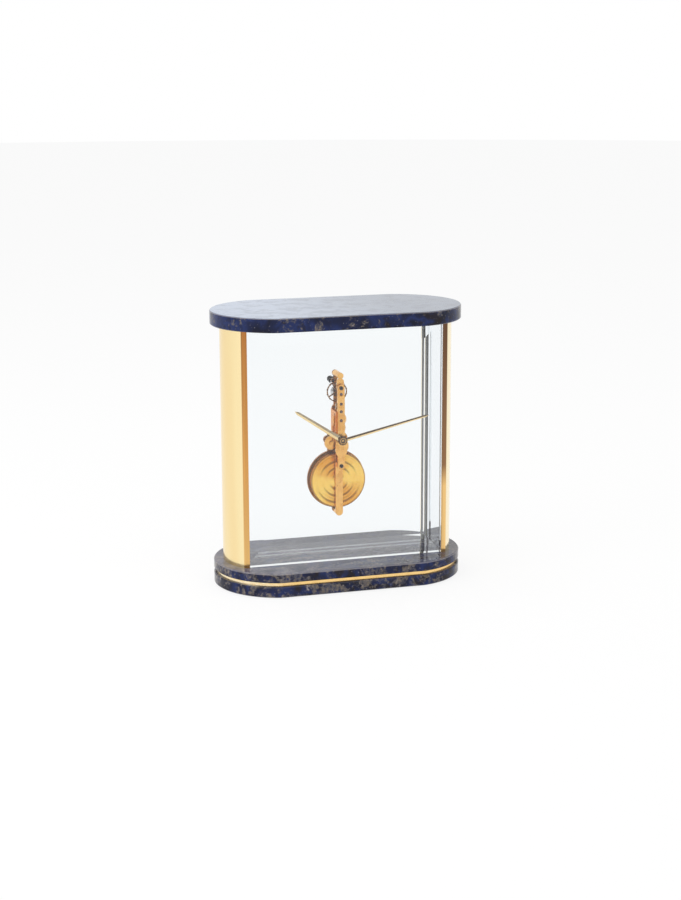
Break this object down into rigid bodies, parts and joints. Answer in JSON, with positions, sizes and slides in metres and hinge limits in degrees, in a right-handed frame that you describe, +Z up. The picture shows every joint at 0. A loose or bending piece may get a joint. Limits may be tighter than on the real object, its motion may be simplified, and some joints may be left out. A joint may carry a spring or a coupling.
{
  "type": "desk clock",
  "caption": "Desk clock with an oval stone base and top, two gilt half-round columns, clear panels, and a bar-shaped skeleton movement with hour and minute hands.",
  "frame": {"origin": "centre of the underside, on the surface the clock stands on", "axes": "+Z up, +X to the right as seen from the front, front faces -Y"},
  "size_m": [0.1924, 0.0984, 0.21],
  "materials": {
    "stone": "polished opaque blue stone with dark and tan clouding",
    "gilt_polished": "polished gilt brass",
    "brass_plain": "plain machined brass",
    "steel": "fine ground steel",
    "clear_panel": "clear polished",
    "gilt_movement": "fine satin gilt",
    "gilt_wheel": "satin gilt",
    "dark_gilt": "dark gilt",
    "blued_steel": "blued, polished",
    "ruby": "polished synthetic ruby",
    "hand_gilt": "faceted polished gilt",
    "mirror_lining": "mirror-bright plate",
    "felt": "dark felt"
  },
  "bodies": {
    "case": {"base_felt": "felt", "lower_base_slab": "stone", "upper_base_slab": "stone", "top_slab": "stone", "base_band": "gilt_polished", "left_column": "gilt_polished", "right_column": "gilt_polished", "left_column_blocks": "brass_plain", "right_column_blocks": "brass_plain", "tie_rods": "steel", "tie_rod_nuts": "steel", "front_panel": "clear_panel", "carrier_panel": "clear_panel", "back_panel": "clear_panel", "side_linings": "mirror_lining", "movement_plate": "gilt_movement", "front_bridge": "gilt_movement", "balance_bridge": "gilt_movement", "barrel_bar": "gilt_movement", "bridge_blocks": "gilt_movement", "side_cheek": "gilt_movement", "top_pillar": "gilt_movement", "bridge_jewels": "ruby", "bridge_screws": "blued_steel", "mounting_collars": "blued_steel", "mounting_screws": "blued_steel", "click_screw": "blued_steel", "click_spring": "steel", "pallet_cock": "gilt_movement", "hairspring_stud": "steel", "regulator_index": "steel"},
    "click": {"ratchet_click": "steel"},
    "barrel": {"mainspring_barrel": "gilt_movement", "barrel_lid": "gilt_movement", "mainspring": "blued_steel"},
    "winding": {"barrel_arbor": "steel", "ratchet_wheel": "gilt_movement", "winding_knob": "gilt_polished"},
    "second_arbor": {"second_wheel": "gilt_wheel"},
    "minute": {"center_wheel": "gilt_wheel", "cannon_pinion": "steel", "minute_hand": "hand_gilt", "hand_cap": "blued_steel"},
    "hour": {"hour_wheel": "gilt_wheel", "hour_hand": "hand_gilt"},
    "setting": {"minute_wheel": "gilt_wheel"},
    "third_arbor": {"third_wheel": "gilt_wheel"},
    "fourth_arbor": {"fourth_wheel": "gilt_wheel"},
    "escape_arbor": {"escape_wheel": "gilt_wheel"},
    "lever": {"pallet_lever": "steel"},
    "balance": {"balance_wheel": "dark_gilt", "hairspring": "blued_steel"}
  },
  "joints": [
    {"name": "minute_spin", "type": "hinge", "parent": "case", "child": "minute", "pos_m": [0, 0, 0.1097], "axis": [0, 1, 0], "continuous": true},
    {"name": "hour_spin", "type": "hinge", "parent": "case", "child": "hour", "pos_m": [0, 0, 0.1097], "axis": [0, 1, 0], "continuous": true},
    {"name": "setting_spin", "type": "hinge", "parent": "case", "child": "setting", "pos_m": [-0.00663, 0, 0.10689], "axis": [0, 1, 0], "continuous": true},
    {"name": "second_spin", "type": "hinge", "parent": "case", "child": "second_arbor", "pos_m": [0.00279, 0, 0.10114], "axis": [0, 1, 0], "continuous": true},
    {"name": "barrel_spin", "type": "hinge", "parent": "case", "child": "barrel", "pos_m": [0, 0, 0.0761], "axis": [0, 1, 0], "continuous": true},
    {"name": "third_spin", "type": "hinge", "parent": "case", "child": "third_arbor", "pos_m": [0, 0, 0.1172], "axis": [0, 1, 0], "continuous": true},
    {"name": "fourth_spin", "type": "hinge", "parent": "case", "child": "fourth_arbor", "pos_m": [0, 0, 0.1244], "axis": [0, 1, 0], "continuous": true},
    {"name": "escape_spin", "type": "hinge", "parent": "case", "child": "escape_arbor", "pos_m": [0, 0, 0.1313], "axis": [0, 1, 0], "continuous": true},
    {"name": "lever_rock", "type": "hinge", "parent": "case", "child": "lever", "pos_m": [0, 0, 0.1371], "axis": [0, 1, 0], "range_deg": [-4, 4]},
    {"name": "balance_swing", "type": "hinge", "parent": "case", "child": "balance", "pos_m": [0, 0, 0.1446], "axis": [0, 1, 0], "range_deg": [-270, 270], "stiffness_Nm_per_rad": 0.000002},
    {"name": "winding_turn", "type": "hinge", "parent": "case", "child": "winding", "pos_m": [0, 0, 0.0761], "axis": [0, 1, 0], "continuous": true},
    {"name": "click_rock", "type": "hinge", "parent": "case", "child": "click", "pos_m": [-0.0095, 0, 0.0761], "axis": [0, 1, 0], "range_deg": [-12, 0], "stiffness_Nm_per_rad": 0.0001}
  ],
  "couplings": [
    {"joint": "hour_spin", "follows": "minute_spin", "ratio": 0.083333},
    {"joint": "setting_spin", "follows": "minute_spin", "ratio": -0.33333},
    {"joint": "second_spin", "follows": "minute_spin", "ratio": -0.25},
    {"joint": "barrel_spin", "follows": "minute_spin", "ratio": 0.041667},
    {"joint": "third_spin", "follows": "minute_spin", "ratio": -4},
    {"joint": "fourth_spin", "follows": "minute_spin", "ratio": 12},
    {"joint": "escape_spin", "follows": "minute_spin", "ratio": -43.2}
  ]
}
